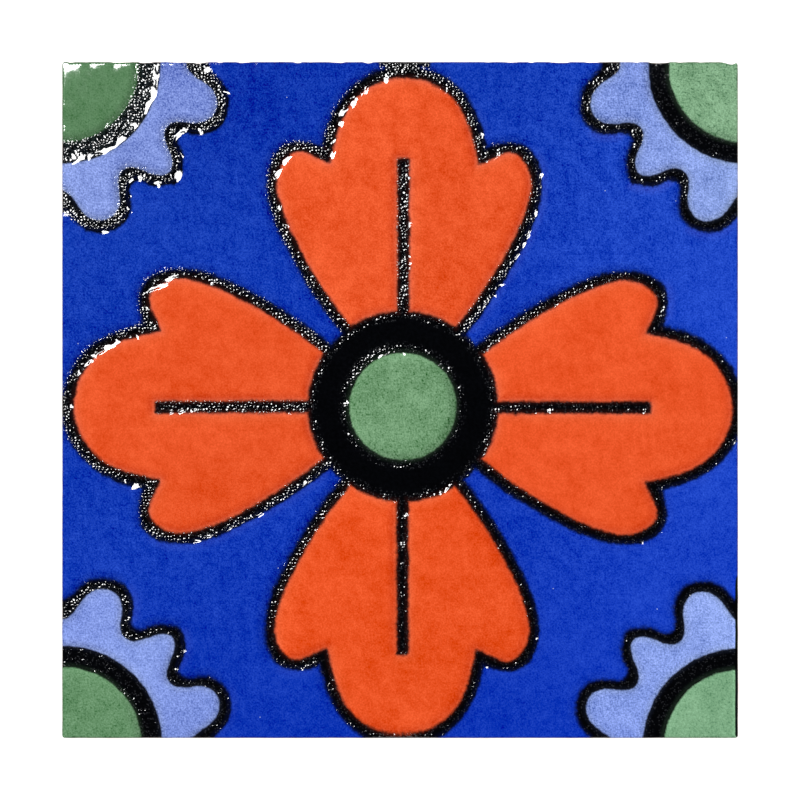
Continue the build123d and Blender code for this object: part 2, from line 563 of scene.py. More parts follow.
# the glazed edge is rounded and a little uneven
arris = np.maximum(ARRIS_R - inset, 0.0)
z = z - (ARRIS_R - np.sqrt(np.maximum(ARRIS_R**2 - arris**2, 0.0)))
out = outward(top)
upper = np.clip(out[:, 1], 0, 1)
z -= (0.012 + upper * 0.055 * (0.7 + 0.9 * noise(x, y, 3.4, 45) + 0.5 * noise(x, y, 1.2, 46))
      ) * np.exp(-inset / 0.8)

# how strongly the surface is beaded: the lines all over but on the drops, and a strip beside
end = FLOOR / slope
drops = lit_up * gate * smooth(0.12, -0.12, d_up + over - end)
in_line = np.interp(side, (-1, -0.5, -0.2, 0, 0.5, 1), (1.45, 1.06, 0.86, 0.80, 0.62, 0.50))
in_line *= np.where(in_band, np.array([0.56, 0.82, 0.70, 0.50])[rose], 1.0)
in_line *= np.where(~in_band & (rose_r < 27), np.array([0.80, 1.0, 0.82, 0.95])[rose], 1.0)
in_line *= 1 - 0.15 * smooth(41, 45, y) * (np.abs(x) < 28)
in_line *= 1 + 0.4 * (1 - tl) * smooth(0.95, 0.45, d_off) * smooth(0.5, 0.9, d_up)
in_line *= 1 - 0.18 * in_ring
calm = 0.3 + 0.58 * smooth(-0.15, -0.45, side)      # near the drops the line is smoother
in_line *= 1 - calm * lit_up * smooth(0.72 + 0.25 * tl * in_band, 0.32, d_up)
in_line *= 1 - 0.9 * drops
reach = 0.42 + 0.14 * noise(x, y, 0.9, 36) + 0.16 * smooth(-0.3, -0.8, side)
in_pool = np.interp(side, (-1, -0.8, -0.5, -0.25, 0, 0.5), (0.16, 0.24, 0.41, 0.45, 0.42, 0.42))
in_pool = in_pool * (1 - lit) * smooth(reach + 0.15, reach - 0.15, d)
# and small beads sit on the orange where it faces up, half way down the tile
in_pool += (0.42 * lit * smooth(0.45, 0.22, d) * np.exp(-(side / 0.32) ** 2)
            * (lab >= ORANGE) * (lab < GREEN))
bumpy = np.where(black, in_line, in_pool)
bumpy[on_edge] = (in_pool * 0.88 + in_line * 0.12)[on_edge] * (1 - lit[on_edge])
# the orange that ends at the tile's lower edge is beaded there too
at_foot = (beside[nearest] == ORANGE + 2) & (y < -48)
bumpy = np.where(at_foot, np.maximum(bumpy, 1.9 * np.exp(-(inset / 1.2) ** 2)), bumpy)
bumpy *= 1 - 0.98 * full
# at the upper left corner the face rounds off further
away = np.hypot((x + HALF) / 1.6, (y - HALF) / 0.8)
z -= 0.11 * np.exp(-away / 1.3)


def pulled(p, out):
    """How far the edge stands back from the slab's outline, in mm."""
    x, y = p.T
    s = np.where(np.abs(out[:, 0]) > np.abs(out[:, 1]), y, x)
    upper = np.clip(out[:, 1], 0, 1)
    much = -0.045 + 0.04 * np.clip(-out[:, 0], 0, 1) + 0.01 * noise(s, 0 * s, 1.7, 41)
    much += upper * np.clip(-0.01 + 0.20 * noise(s, 0 * s, 1.1, 42)
                            + 0.14 * noise(s, 0 * s, 4.2, 43), 0, 0.45) * smooth(49, 46, x)
    much += upper * 0.36 * smooth(49.8, 51.6, x)
    # little enough at the corners for the outline not to cross itself
    much = np.minimum(much, 0.42)
    return np.minimum(much, 0.05 + 0.5 * np.maximum(HALF - np.abs(p).min(1) - 0.2, 0))


near_rim = np.clip(1 - inset / 1.5, 0, 1) ** 2
all_back = pulled(top, out)
warped = top - out * (all_back * near_rim)[:, None]
right_low = np.clip(out[:, 0], 0, 1) * smooth(-24, -30, y)
ragged = inset + 0.03 * noise(y, 0 * y, 2.2, 44)
# a near-black, barely glossy strip is painted along the lower right edge
dark_strip = right_low * np.clip((0.72 - ragged) / 0.5, 0, 1)
# painted highlight: a pale line just inside the lower right edge
painted_edge_highlight = right_low * np.exp(-((ragged - 0.62) / 0.16) ** 2)
rim_darkening = np.exp(-(inset / 0.17) ** 2)      # the rounded edge is painted darker and made less glossy

# ================================================================ colours
SRGB = {
    BLACK: (4, 5, 8), BLUE: (17, 57, 184),
    ORANGE: (234, 87, 42), ORANGE + 1: (232, 85, 40), ORANGE + 2: (238, 84, 36),
    ORANGE + 3: (239, 88, 42),
    GREEN: (113, 155, 114), GREEN + 1: (130, 172, 134), GREEN + 2: (91, 131, 92),
    GREEN + 3: (107, 150, 109), GREEN + 4: (131, 178, 138),
    LAVENDER: (135, 158, 229), LAVENDER + 1: (125, 145, 215),
    LAVENDER + 2: (133, 155, 230), LAVENDER + 3: (144, 168, 242),
}


def linear(rgb):
    c = np.asarray(rgb, float) / 255
    return np.where(c <= 0.04045, c / 12.92, ((c + 0.055) / 1.055) ** 2.4)


LIGHT = 1.06      # how bright the studio makes a white surface
PAINT = np.array([linear(SRGB[i]) / LIGHT if i in SRGB else (0, 0, 0) for i in range(15)])
tint_of = lab.copy()
tint_of[lab == BLACK] = beside[nearest[lab == BLACK]]
ground = PAINT[tint_of]


def spot(cx, cy, wide):
    return np.exp(-((x - cx) ** 2 + (y - cy) ** 2) / wide**2)


# the cobalt is lighter in places, most of all at the right
cobalt_pale = (0.12 + 0.45 * smooth(10, 50, x) + 0.0015 * y * smooth(0, 40, x) + 0.42 * spot(52, 2, 20.5)
        + 0.10 * spot(52, 0, 12) + 0.12 * spot(46, -46, 16) - 0.22 * spot(-24, 49, 13)
        + 0.21 * spot(26, 42, 22) + 0.22 * spot(-20, 20, 12) + 0.10 * spot(-24, -22, 17)
        + 0.17 * spot(-44, 30, 17) + 0.18 * spot(-46, -26, 16) + 0.09 * noise(x, y, 13.0, 71))
cobalt_pale = np.clip(cobalt_pale, -0.15, 1.15)[:, None]
cobalt = linear((12, 51, 172)) * (1 - cobalt_pale) + linear((34, 76, 200)) * cobalt_pale
cobalt[:, 2] *= 1.045 + 0.00135 * x - 0.00165 * y
ground = np.where((tint_of == BLUE)[:, None], cobalt / LIGHT, ground)

# and the lavender is paler towards the left and right edges, deeper towards the others
to_right, to_left = HALF - x, x + HALF
to_up, to_down = HALF - y, y + HALF
lilac = (0.36 * np.exp(-to_right / 6) * (0.7 + 0.3 * np.sign(y))
         + 0.20 * np.exp(-to_left / 8) * (y > 0)
         - np.exp(-to_up / 6) * np.where(x > 0, 0.14, 0.30)
         - 0.22 * np.exp(-to_down / 5) * (x > 0) + 0.14 * (x < 0) * (y < 0)
         * np.exp(-((to_left - to_down) / 9) ** 2))
lilac = (1 + lilac[:, None] * (1.0, 0.9, 0.42))
ground = np.where((tint_of >= LAVENDER)[:, None], ground * lilac, ground)
# a painted highlight line near the lower right edge, and the rounded edge painted darker all round
ground = ground * (1 + 0.35 * painted_edge_highlight[:, None]) * (1 - 0.45 * rim_darkening[:, None])

# painted shade and light beside the lines: each glaze is painted darker where its edge slopes away
# from the key light at the upper left, lighter where it faces it
far = np.maximum(sd, 0)
off = smooth(0.15, -0.5, turn)
up = smooth(-0.1, 0.5, turn)
painted_shade = (off * (1 - smooth(0.35, 1.6, far)))[:, None]
painted_light = (up * (1 - smooth(0.5, 1.7, far)))[:, None]
mid = np.exp(-(side / 0.28) ** 2)[:, None]
low = smooth(0.05, 0.45, side)[:, None]
is_blue = (tint_of == BLUE)[:, None]
is_orange = ((tint_of >= ORANGE) & (tint_of < GREEN))[:, None]
is_green = ((tint_of >= GREEN) & (tint_of < LAVENDER))[:, None]
blue_shade_light = (1 - painted_shade * (1 - 0.5 * low) * (0.50, 0.36, 0.24)
             + painted_light * (mid * (1.6, 0.32, 0.06) + (0.15, 0.0, -0.04)))
orange_shade_light = (1 - painted_shade * (1 - 0.25 * low) * (0.19, 0.32, 0.33)
               + up[:, None] * np.c_[0.02 * np.exp(-far / 0.8), 0.70 * np.exp(-far / 0.7),
                                     2.9 * np.exp(-far / 0.5)]
               + (off * np.exp(-(far / 0.38) ** 2) * (1 - 0.5 * smooth(0.05, 0.45, side)))[:, None]
               * (0.08, 0.55, 1.5))
green_shade_light = 1 - painted_shade * (0.33 - 0.07 * (1 - tl[:, None])) + painted_light * 0.07
lilac_tint_shade_light = (1 - painted_shade * (1 - 0.8 * low) * (0.19, 0.19, 0.15)
              - np.exp(-(far / 0.65) ** 2)[:, None] * (0.0, 0.035, 0.16)
              + painted_light * (0.06 * tl[:, None] - 0.055 * (1 - tl[:, None])))
ground = ground * np.where(is_blue, blue_shade_light, np.where(is_orange, orange_shade_light,
                           np.where(is_green, green_shade_light, lilac_tint_shade_light)))

# where the black gives way to the colour, in half-widths of that change
shift = np.where(is_blue[:, 0], 0.125 + 0.145 * turn - side * (0.125 + 0.04 * turn),
                 np.where(is_orange[:, 0], 0.06 + 0.10 * turn + 0.13 * side * turn,
                          np.where(is_green[:, 0], 0.10 + 0.10 * turn,
                                   -0.03 + 0.06 * turn + 0.12 * np.maximum(side, 0)
                                   + 0.14 * lit * tl)))
half = np.where(is_blue[:, 0], 0.37 - 0.09 * turn,
                np.where(is_orange[:, 0], 0.31, np.where(is_green[:, 0], 0.20, 0.17)))
shift = shift + 0.04 * (tint_of >= LAVENDER) * (x < 0) * (y < 0)
# beside the drops a dark outline shows
shift = shift + 0.10 * lit * gate * (tint_of < GREEN)
# at the lower edge of the tile the orange stops short of it
shift = shift + 0.50 * at_foot * np.exp(-(inset / 1.1) ** 2)
half = half + 0.50 * at_foot * np.exp(-(inset / 1.1) ** 2)
edge = np.clip((sd - shift) / half, -3, 3)

# how strong each glaze's clouds are
mottle = np.array([1, 1, 1.08, 0.85, 1.0, 0.85, 1.04, 1.45, 0.42, 0.80, 1.0,
                   1.05, 0.90, 0.86, 1.05])[tint_of]
mottle = np.where(tint_of == BLUE, 0.95 + 0.45 * smooth(5, 40, x) * smooth(0, 45, y)
                  - 0.20 * smooth(-20, -45, y), mottle)
# painted sheen: the black band at the upper left corner, near where the key light mirrors, is
# painted lighter
corner_sheen = tl * smooth(-0.55, -0.80, side) * in_band
# the colour also stains the black a little way in
stain = (0.045 * smooth(-0.75, -0.12, sd) * (1 - 0.4 * turn)
         * np.where(is_orange[:, 0], 0.5, np.where(tint_of >= LAVENDER, 0.35, 1.0)))


# ================================================================ meshes
def mesh_piece(name, verts, faces, face_mats, mats, uv, values):
    """verts in mm, triangles, a place on the map per corner, values {name: per vertex}."""
    me = bpy.data.meshes.new(name)
    me.vertices.add(len(verts))
    me.vertices.foreach_set("co", (np.asarray(verts) * MM).astype(np.float32).ravel())
    n = len(faces)
    me.loops.add(3 * n)
    me.loops.foreach_set("vertex_index", faces.astype(np.int32).ravel())
    me.polygons.add(n)
    me.polygons.foreach_set("loop_start", np.arange(0, 3 * n, 3, dtype=np.int32))
    me.polygons.foreach_set("material_index", np.asarray(face_mats, np.int32))
    me.polygons.foreach_set("use_smooth", np.ones(n, bool))
    me.update(calc_edges=True)
    for m in mats:
        me.materials.append(m)
    layer = me.uv_layers.new(name="OFBake", do_init=False)
    layer.uv.foreach_set("vector", uv.astype(np.float32).ravel())
    for key, val in values.items():
        val = np.asarray(val, np.float32)
        if val.ndim == 2:
            at = me.attributes.new(key, "FLOAT_COLOR", "POINT")
            at.data.foreach_set("color", np.c_[val, np.ones(len(val))].astype(np.float32).ravel())
        else:
            at = me.attributes.new(key, "FLOAT", "POINT")
            at.data.foreach_set("value", val)
    if me.validate(verbose=True):
        print("mesh", name, "had faults")
    ob = bpy.data.objects.new(name, me)
    bpy.context.scene.collection.objects.link(ob)
    return ob


def caps(ring_xy, size):
    """Points and triangles that fill a closed ring, with the ring's points first."""
    n = len(ring_xy)
    lo, hi = ring_xy.min(0), ring_xy.max(0)
    g = np.stack(np.meshgrid(np.arange(lo[0] + size, hi[0] - size * 0.6, size),
                             np.arange(lo[1] + size, hi[1] - size * 0.6, size),
                             indexing="ij"), -1).reshape(-1, 2)
    p = np.vstack([ring_xy, g])
    v, _, f, orig, _, _ = geometry.delaunay_2d_cdt(
        [Vector((float(a), float(b))) for a, b in p],
        [(i, (i + 1) % n) for i in range(n)], [], 1, 1e-6, True)
    back = [o[0] for o in orig]
    f = np.array([[back[i] for i in t] for t in f])
    f = f[inside(ring_xy, p[f].mean(1))]      # none across the ring's hollows
    a, b, c = (p[f[:, k]] for k in range(3))
    turn = np.cross(b - a, c - a)
    f[turn < 0] = f[turn < 0][:, ::-1]
    return p, f


# ---- the glaze: its face, a skirt of uneven runs down the sides, a hidden back
s = np.r_[0, np.cumsum(np.hypot(*np.diff(perimeter, axis=0).T))]
n0 = outward(perimeter)
total = s[-1] + np.hypot(*(perimeter[0] - perimeter[-1]))


def around(size, seed):
    """Noise that closes on itself round the outline."""
    f = smooth(0, 12, total - s)
    return noise(s, 0 * s, size, seed) * f + noise(s - total, 0 * s, size, seed) * (1 - f)


runs = 5.35 + 0.35 * around(9.0, 51) + 0.2 * around(2.4, 52)
runs -= 1.9 * np.clip(around(5.5, 53) - 0.35, 0, 1) / 0.65
runs = np.clip(runs, 3.6, 5.55)
rim_xy, rim_z = warped[rim], z[rim]
col = np.arange(n_rim)
skirt_xy, skirt_z, skirt_far = [], [], []
for t, proud in ((0.14, 0.0), (0.34, 0.02), (0.56, 0.04), (0.76, 0.07), (0.9, 0.09),
                 (0.98, 0.06), (1.03, -0.02)):
    xy = perimeter - n0 * all_back[rim][:, None] + n0 * proud + \
        n0 * (0.03 * noise(s, t * (6.5 - runs), 1.6, 54))[:, None] * (t < 0.95)
    skirt_xy.append(xy)
    skirt_z.append(rim_z + (runs - rim_z) * t)
    skirt_far.append((rim_z - runs) * t)
inner = perimeter - n0 * (0.22 + all_back[rim])[:, None]
skirt_xy.append(inner)
skirt_z.append(runs + 0.02)
skirt_far.append((rim_z - runs) * 1.03 + 0.25)
skirt_xy.append(inner)
skirt_z.append(np.full(n_rim, 6.12))
hidden_ring = skirt_xy[-1]
hid_xy, hid_tri = caps(hidden_ring, 2.5)
hid_z = np.full(len(hid_xy), 6.12)

base = len(top)
rows_n = len(skirt_xy)                  # the last one is the hidden ring
verts = [np.c_[warped, z]]
for xy, zz in zip(skirt_xy, skirt_z):
    verts.append(np.c_[xy, zz])
verts.append(np.c_[hid_xy[n_rim:], hid_z[n_rim:]])
verts = np.vstack(verts)


def ring_ids(k):
    return rim if k < 0 else base + k * n_rim + col


# which colour runs down at each column: that of the face at the rim
edge_face = {}
on_rim = np.full(len(top), -1)
on_rim[rim] = col
hit = on_rim[tris] >= 0
for f in np.flatnonzero(hit.sum(1) >= 2):
    r = on_rim[tris[f]]
    r = r[r >= 0]
    for i in r:
        for j in r:
            if (i + 1) % n_rim == j:
                edge_face[i] = f
col_lab = np.array([face_lab[edge_face[i]] for i in range(n_rim)])

faces, mats = [tris], [face_lab]
for k in range(-1, rows_n - 1):
    up, lo = ring_ids(k), ring_ids(k + 1)
    up2, lo2 = np.roll(up, -1), np.roll(lo, -1)
    hid = k == rows_n - 2
    faces.append(np.stack([up, lo, lo2], 1))
    faces.append(np.stack([up, lo2, up2], 1))
    mats += [np.full(n_rim, 99) if hid else col_lab] * 2
shift = base + rows_n * n_rim - n_rim
under = np.where(hid_tri < n_rim, ring_ids(rows_n - 1)[np.minimum(hid_tri, n_rim - 1)],
                 hid_tri + shift)
faces.append(under[:, ::-1])
mats.append(np.full(len(under), 99))
faces, mats = np.vstack(faces), np.concatenate(mats)


def slots(labels):
    out = np.zeros(len(labels), int)
    out[labels == BLUE] = 1
    out[(labels >= ORANGE) & (labels < GREEN)] = 2
    out[(labels >= GREEN) & (labels < LAVENDER)] = 3
    out[(labels >= LAVENDER) & (labels < 99)] = 4
    out[labels == 99] = 5
    return out


# map for the bake: the face seen from above, the skirt folded out round it
arc = np.where(inset < ARRIS_R, ARRIS_R * np.arcsin(np.clip(arris / ARRIS_R, 0, 1)) - arris, 0)
flap = [top + out * arc[:, None]]
arc_rim = ARRIS_R * math.pi / 2 - ARRIS_R
for k in range(rows_n - 1):
    flap.append(perimeter + n0 * (arc_rim + skirt_far[k])[:, None])
flap = np.vstack(flap)
reach = np.abs(flap).max()
# the hidden back, with its own upstand folded out round it, has a small place of its own
uv = np.zeros((len(verts), 2))
uv[:len(flap)] = 0.003 + (flap + reach) / (2 * reach) * 0.966
turned_up = np.vstack([hidden_ring, hid_xy[n_rim:]])
under_uv = np.zeros((len(verts), 2))
under_uv[len(flap):] = 0.985 + turned_up / (2 * HALF + 6) * 0.02
under_uv[len(flap) - n_rim:len(flap)] = \
    0.985 + (perimeter + n0 * (6.14 - runs)[:, None]) / (2 * HALF + 6) * 0.02
corner_uv = np.where((mats == 99)[:, None, None], under_uv[faces], uv[faces])


def tile_values(extra):
    """Per-vertex values of the top, carried down the skirt."""
    down = [extra]
    for k in range(rows_n):
        down.append(extra[rim])
    tail = np.broadcast_to(extra[rim][:1], (len(hid_xy) - n_rim,) + extra.shape[1:])
    return np.concatenate(down + [tail])


values = {
    "ground": tile_values(ground),
    "edge": tile_values(edge),
    "bumpy": tile_values(bumpy),
    "dark_strip": tile_values(dark_strip),
    "mottle": tile_values(mottle),
    "corner_sheen": tile_values(corner_sheen),
    "stain": tile_values(stain),
    "rim_darkening": tile_values(rim_darkening),
}

# ================================================================ materials
class Nodes:
    """Short calls to lay out one material's nodes."""

    def __init__(self, name):
        self.mat = bpy.data.materials.new(name)
        self.mat.use_nodes = True
        self.tree = self.mat.node_tree
        self.tree.nodes.clear()
        self.out = self.tree.nodes.new("ShaderNodeOutputMaterial")
        self.bsdf = self.tree.nodes.new("ShaderNodeBsdfPrincipled")
        self.tree.links.new(self.bsdf.outputs[0], self.out.inputs[0])
        self.place = self.tree.nodes.new("ShaderNodeTexCoord").outputs["Object"]

    def put(self, socket, value):
        if isinstance(value, bpy.types.NodeSocket):
            self.tree.links.new(value, socket)
        else:
            socket.default_value = value

    def node(self, kind, inputs=(), **props):
        n = self.tree.nodes.new(kind)
        for key, value in props.items():
            setattr(n, key, value)
        for key, value in dict(inputs).items():
            self.put(n.inputs[key], value)
        return n

    def value(self, name):
        return self.node("ShaderNodeAttribute", attribute_name=name).outputs["Fac"]

    def colour(self, name):
        return self.node("ShaderNodeAttribute", attribute_name=name).outputs["Color"]

    def math(self, how, a, b=0.0, c=0.0, clamp=False):
        n = self.node("ShaderNodeMath", operation=how, use_clamp=clamp)
        for socket, value in zip(n.inputs, (a, b, c)):
            self.put(socket, value)
        return n.outputs[0]

    def ramp(self, x, lo, hi, to_lo=0.0, to_hi=1.0, soft=True):
        n = self.node("ShaderNodeMapRange", {"Value": x, "From Min": lo, "From Max": hi,
                                             "To Min": to_lo, "To Max": to_hi},
                      interpolation_type="SMOOTHSTEP" if soft else "LINEAR", clamp=True)
        return n.outputs[0]

    def slanted(self, shift=0.0, stretch=(1, 1, 1)):
        """Where a flat texture is read: from above, and slanting so that sides aren't streaks."""
        return self.node("ShaderNodeMapping",
                         {"Vector": self.place, "Location": (shift, shift * 1.7, shift * 0.3),
                          "Rotation": (0.35, 0.35, 0), "Scale": stretch}).outputs[0]

    def noise(self, mm, detail=2.0, rough=0.5, stretch=(1, 1, 1), shift=0.0, solid=False):
        """Noise with lumps about `mm` millimetres wide."""
        return self.node("ShaderNodeTexNoise",
                         {"Vector": self.slanted(shift, stretch), "Scale": 1000.0 / mm,
                          "Detail": detail, "Roughness": rough},
                         noise_dimensions="3D" if solid else "2D").outputs["Fac"]

    def dots(self, mm, size, share, shift=0.0):
        """Rare round dots: one cell in `share` of cells `mm` wide has one, `size` mm across."""
        cell = self.node("ShaderNodeTexVoronoi",
                         {"Vector": self.slanted(shift), "Scale": 1000.0 / mm},
                         feature="F1", voronoi_dimensions="2D")
        lone = self.node("ShaderNodeSeparateColor",
                         {"Color": cell.outputs["Color"]}).outputs[0]
        near = self.ramp(cell.outputs["Distance"], size / mm * 0.3, size / mm * 0.6, 1, 0)
        return self.math("MULTIPLY", near, self.math("LESS_THAN", lone, share))

    def mix(self, f, a, b, how="MIX"):
        n = self.node("ShaderNodeMix", data_type="RGBA", blend_type=how, clamp_factor=True)
        for socket, value in ((n.inputs[0], f), (n.inputs[6], a), (n.inputs[7], b)):
            self.put(socket, value)
        return n.outputs[2]

    def scaled(self, colour, much):
        """A colour times a number."""
        n = self.node("ShaderNodeVectorMath", operation="SCALE")
        self.put(n.inputs[0], colour)
        self.put(n.inputs["Scale"], much)
        return n.outputs[0]

    def bump(self, height, mm, strength=1.0, under=None):
        n = self.node("ShaderNodeBump", {"Strength": strength, "Distance": mm * MM,
                                         "Height": height})
        if under is not None:
            self.put(n.inputs["Normal"], under)
        return n.outputs[0]


def summed(m, first, *terms):
    """first + each (noise - 0.5) * much"""
    total = first
    for value, much in terms:
        total = m.math("ADD", total, m.math("MULTIPLY", m.math("SUBTRACT", value, 0.5), much))
    return total


def beaded(m):
    """The normal of a surface covered in small flat beads, as strong as `bumpy` says."""
    bumpy = m.value("bumpy")
    far = m.node("ShaderNodeTexVoronoi", {"Vector": m.slanted(0.013), "Scale": 1000.0 / 0.44,
                                          "Randomness": 0.75},
                 feature="F1", voronoi_dimensions="2D").outputs["Distance"]
    dome = m.math("SUBTRACT", 0.24, m.math("MULTIPLY", far, far))
    much = m.ramp(m.noise(1.5, 1.0, shift=.09), 0.32, 0.68, 0.75, 1.45, soft=False)
    lumps = m.bump(m.math("MULTIPLY", dome, m.math("MULTIPLY", much, bumpy)), 0.074)
    swell = m.math("SUBTRACT", m.noise(0.9, 0.0, shift=.07), 0.5)
    return m.bump(m.math("MULTIPLY", swell, bumpy), 0.025, under=lumps)


LINE_BLACK = (0.0011, 0.0013, 0.0020)


def glaze(name, grain, tone, streak=0.0, specks=0.0, pale=0.0, rough=(0.035, 0.07)):
    """A glossy pool of coloured glaze. grain: how strong its fine, middle, coarse and slow
    clouds are; tone: its sRGB colour, for clouds that are equally strong in every channel."""
    m = Nodes(name)
    fine, mid, coarse, slow = grain
    light = summed(m, 0.0, (m.noise(0.26, 1.0, 0.6, shift=.02), fine), (m.noise(0.72, 1.0), mid),
                   (m.noise(2.2, 1.0, shift=.01), coarse), (m.noise(8.0, 2.0, shift=.04), slow))
    if streak:
        light = summed(m, light, (m.noise(0.9, 2.0, stretch=(1, 0.07, 1), shift=.03), streak))
    if specks:
        spot = m.ramp(m.noise(0.42, 1.0, shift=.05), 0.62, 0.74)
        light = m.math("SUBTRACT", light, m.math("MULTIPLY", spot, specks))
    light = m.math("MULTIPLY", light, m.value("mottle"))
    cloud = 2.2 * linear(tone) ** 0.545 / LIGHT
    sum_up = m.node("ShaderNodeVectorMath", {0: m.colour("ground"),
                                             1: m.scaled(tuple(cloud), light)}, operation="ADD")
    colour = m.node("ShaderNodeVectorMath", {0: sum_up.outputs[0], 1: (0.0006, 0.0006, 0.0006)},
                    operation="MAXIMUM").outputs[0]
    if pale:
        dot = m.dots(5.0, 0.16, 0.10, shift=.004)
        colour = m.mix(m.math("MULTIPLY", dot, pale), colour, (0.5, 0.6, 0.8, 1))
    colour = m.mix(edge_share(m), LINE_BLACK + (1,), colour)
    dark_strip_share = m.ramp(m.value("dark_strip"), 0.52, 0.68)
    colour = m.mix(dark_strip_share, colour, (0.0050, 0.0085, 0.0068, 1))
    m.put(m.bsdf.inputs["Base Color"], colour)
    rough = m.ramp(m.noise(1.6, 3.0, shift=.06), 0.3, 0.7, *rough)
    m.put(m.bsdf.inputs["Roughness"],
          m.math("ADD", rough, m.math("MULTIPLY", m.value("bumpy"), 0.05)))
    m.put(m.bsdf.inputs["Specular IOR Level"],
          m.math("MULTIPLY", m.ramp(dark_strip_share, 0.0, 1.0, 0.5, 0.03),
                 m.ramp(m.value("rim_darkening"), 0.1, 0.9, 1.0, 0.2)))
    m.bsdf.inputs["IOR"].default_value = 1.56
    m.put(m.bsdf.inputs["Normal"], beaded(m))
    return m.mat


def edge_share(m):
    """How far the colour has taken over from the line's black, broken up in small specks."""
    broken = summed(m, m.value("edge"), (m.noise(0.36, 1.0), 0.8),
                    (m.noise(1.2, 1.0, shift=.03), 1.0))
    return m.ramp(broken, -1.0, 1.0)


def black_line():
    """The dark lines: beaded in the lines, smooth where the glaze pools, and stained with the
    neighbouring colour along their edges."""
    m = Nodes("black_line_glaze")
    tone = m.noise(0.5, 2.0)
    light = summed(m, 1.0, (tone, 1.2), (m.noise(4.0, 2.0, shift=.01), 0.8))
    base = m.node("ShaderNodeVectorMath", {0: LINE_BLACK, 1: light},
                  operation="MULTIPLY").outputs[0]
    # painted sheen at the upper left corner
    sheen_share = m.math("MULTIPLY", m.value("corner_sheen"), m.ramp(m.noise(0.4, 1.0), 0.35, 0.7))
    base = m.mix(sheen_share, base, (0.012, 0.017, 0.020, 1))
    # painted glints: the tips of strongly beaded parts are painted a little grey
    tips = m.node("ShaderNodeTexVoronoi", {"Vector": m.slanted(0.021), "Scale": 1000.0 / 0.40},
                  feature="F1", voronoi_dimensions="2D").outputs["Distance"]
    tip_glints = m.math("MULTIPLY", m.ramp(tips, 0.36, 0.12),
                  m.math("MULTIPLY", m.ramp(m.noise(0.8, 1.0, shift=.05), 0.42, 0.58),
                         m.ramp(m.value("bumpy"), 0.08, 0.35)))
    base = m.mix(tip_glints, base, (0.022, 0.023, 0.026, 1))
    base = m.mix(m.value("stain"), base, m.colour("ground"))
    base = m.mix(edge_share(m), base, m.colour("ground"))
    dark_strip_share = m.ramp(m.value("dark_strip"), 0.52, 0.68)
    base = m.mix(dark_strip_share, base, (0.0012, 0.0014, 0.0018, 1))
    m.put(m.bsdf.inputs["Base Color"], base)
    m.put(m.bsdf.inputs["Specular IOR Level"],
          m.math("MULTIPLY", m.ramp(dark_strip_share, 0.0, 1.0, 0.5, 0.03),
                 m.ramp(m.value("rim_darkening"), 0.1, 0.9, 1.0, 0.2)))
    m.put(m.bsdf.inputs["Roughness"], m.ramp(tone, 0.3, 0.7, 0.04, 0.085, soft=False))
    m.bsdf.inputs["IOR"].default_value = 1.56
    m.put(m.bsdf.inputs["Normal"], beaded(m))
    return m.mat


def fired_clay():
    m = Nodes("fired_clay")
    light = summed(m, 1.0, (m.noise(14.0, 3.0), 0.22), (m.noise(1.3, 3.0, shift=.01), 0.20),
                   (m.noise(0.3, 1.0, shift=.02), 0.14))
    base = m.mix(m.noise(6.0, 3.0, shift=.03), (0.46, 0.19, 0.09, 1), (0.58, 0.29, 0.16, 1))
    pits = m.dots(1.1, 0.35, 0.30, shift=.01)
    base = m.mix(m.math("MULTIPLY", pits, 0.45), base, (0.24, 0.09, 0.045, 1))
    pale = m.dots(1.7, 0.28, 0.2, shift=.03)
    base = m.mix(m.math("MULTIPLY", pale, 0.6), base, (0.72, 0.50, 0.35, 1))
    m.put(m.bsdf.inputs["Base Color"], m.scaled(base, light))
    m.put(m.bsdf.inputs["Roughness"], m.ramp(m.noise(1.0, 2.0), 0.3, 0.7, 0.82, 0.95))
    m.bsdf.inputs["IOR"].default_value = 1.45
    grit = m.bump(m.noise(0.35, 3.0, 0.7), 0.09)
    m.put(m.bsdf.inputs["Normal"], m.bump(pits, 0.10, strength=0.8, under=grit))
    return m.mat


COBALT = glaze("cobalt_glaze", (0.25, 0.106, 0.09, 0.05), (22, 60, 182), streak=0.03, pale=0.9)
POPPY = glaze("orange_glaze", (0.15, 0.070, 0.086, 0.08), (234, 86, 40))
SAGE = glaze("green_glaze", (0.29, 0.095, 0.115, 0.14), (112, 154, 113), specks=0.09)
LILAC = glaze("lavender_glaze", (0.44, 0.136, 0.12, 0.15), (134, 157, 228))
LINE = black_line()
CLAY = fired_clay()

glazed = mesh_piece("glazed_face", verts, faces, slots(mats),
                    [LINE, COBALT, POPPY, SAGE, LILAC, CLAY], corner_uv, values)

